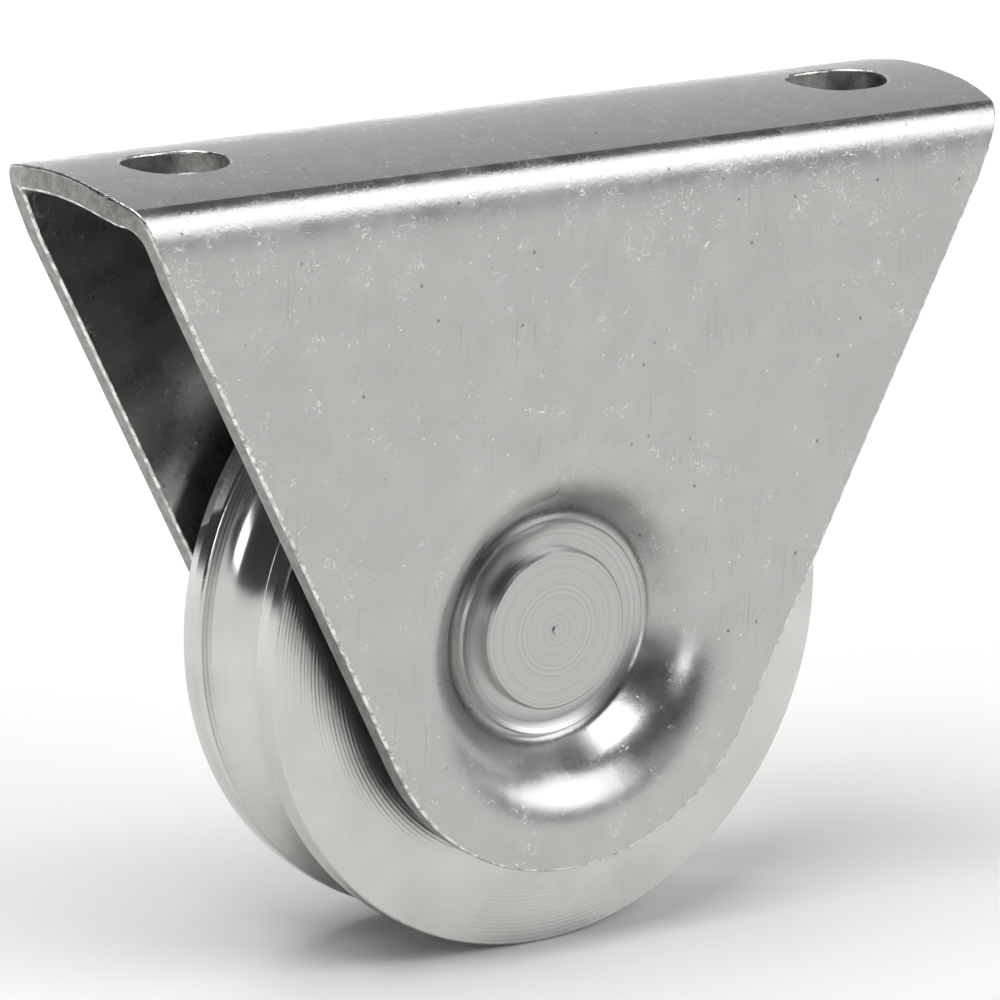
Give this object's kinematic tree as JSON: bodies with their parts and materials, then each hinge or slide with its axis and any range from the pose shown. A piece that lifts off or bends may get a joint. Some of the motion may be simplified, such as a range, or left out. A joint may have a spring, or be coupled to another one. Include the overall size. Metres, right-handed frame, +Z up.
{
  "type": "gate wheel",
  "caption": "Grooved steel gate wheel on a sealed ball bearing, held in a pressed triangular bracket with slotted top plate for the underside of a sliding gate.",
  "frame": {"origin": "centre of the bracket's flat top face, midway between the two fixing slots", "axes": "+X along the gate and the top plate, +Y along the axle away from the pin's turned head, +Z up out of the top face"},
  "size_m": [0.126, 0.0324, 0.101],
  "materials": {
    "zinc_plated_sheet": "zinc-plated pressed sheet, satin",
    "turned_wheel_steel": "turned and zinc plated",
    "turned_pin_steel": "turned and zinc plated",
    "bearing_steel": "ground",
    "cage_steel": "stamped",
    "spring_steel": "drawn wire",
    "seal_rubber": "moulded"
  },
  "bodies": {
    "frame": {"bracket": "zinc_plated_sheet", "axle_pin": "turned_pin_steel", "rivet_washer": "turned_pin_steel", "bearing_inner_ring": "bearing_steel"},
    "wheel": {"wheel": "turned_wheel_steel", "snap_ring": "spring_steel", "bearing_outer_ring": "bearing_steel", "seal_front": "seal_rubber", "seal_rear": "seal_rubber"},
    "cage": {"cage_front": "cage_steel", "cage_rear": "cage_steel", "cage_rivets": "cage_steel"},
    "ball_1": {"bearing_ball_1": "bearing_steel"},
    "ball_2": {"bearing_ball_2": "bearing_steel"},
    "ball_3": {"bearing_ball_3": "bearing_steel"},
    "ball_4": {"bearing_ball_4": "bearing_steel"},
    "ball_5": {"bearing_ball_5": "bearing_steel"},
    "ball_6": {"bearing_ball_6": "bearing_steel"},
    "ball_7": {"bearing_ball_7": "bearing_steel"},
    "ball_8": {"bearing_ball_8": "bearing_steel"}
  },
  "joints": [
    {"name": "wheel_spin", "type": "hinge", "parent": "frame", "child": "wheel", "pos_m": [0, 0, -0.061], "axis": [0, 1, 0], "continuous": true},
    {"name": "cage_spin", "type": "hinge", "parent": "frame", "child": "cage", "pos_m": [0, 0, -0.061], "axis": [0, 1, 0], "continuous": true},
    {"name": "ball_1_spin", "type": "hinge", "parent": "cage", "child": "ball_1", "pos_m": [0.00545, 0, -0.04784], "axis": [0, 1, 0], "continuous": true},
    {"name": "ball_2_spin", "type": "hinge", "parent": "cage", "child": "ball_2", "pos_m": [0.01316, 0, -0.05555], "axis": [0, 1, 0], "continuous": true},
    {"name": "ball_3_spin", "type": "hinge", "parent": "cage", "child": "ball_3", "pos_m": [0.01316, 0, -0.06645], "axis": [0, 1, 0], "continuous": true},
    {"name": "ball_4_spin", "type": "hinge", "parent": "cage", "child": "ball_4", "pos_m": [0.00545, 0, -0.07416], "axis": [0, 1, 0], "continuous": true},
    {"name": "ball_5_spin", "type": "hinge", "parent": "cage", "child": "ball_5", "pos_m": [-0.00545, 0, -0.07416], "axis": [0, 1, 0], "continuous": true},
    {"name": "ball_6_spin", "type": "hinge", "parent": "cage", "child": "ball_6", "pos_m": [-0.01316, 0, -0.06645], "axis": [0, 1, 0], "continuous": true},
    {"name": "ball_7_spin", "type": "hinge", "parent": "cage", "child": "ball_7", "pos_m": [-0.01316, 0, -0.05555], "axis": [0, 1, 0], "continuous": true},
    {"name": "ball_8_spin", "type": "hinge", "parent": "cage", "child": "ball_8", "pos_m": [-0.00545, 0, -0.04784], "axis": [0, 1, 0], "continuous": true}
  ],
  "couplings": [
    {"joint": "cage_spin", "follows": "wheel_spin", "ratio": 0.6184},
    {"joint": "ball_1_spin", "follows": "wheel_spin", "ratio": 1.9937},
    {"joint": "ball_2_spin", "follows": "wheel_spin", "ratio": 1.9937},
    {"joint": "ball_3_spin", "follows": "wheel_spin", "ratio": 1.9937},
    {"joint": "ball_4_spin", "follows": "wheel_spin", "ratio": 1.9937},
    {"joint": "ball_5_spin", "follows": "wheel_spin", "ratio": 1.9937},
    {"joint": "ball_6_spin", "follows": "wheel_spin", "ratio": 1.9937},
    {"joint": "ball_7_spin", "follows": "wheel_spin", "ratio": 1.9937},
    {"joint": "ball_8_spin", "follows": "wheel_spin", "ratio": 1.9937}
  ]
}
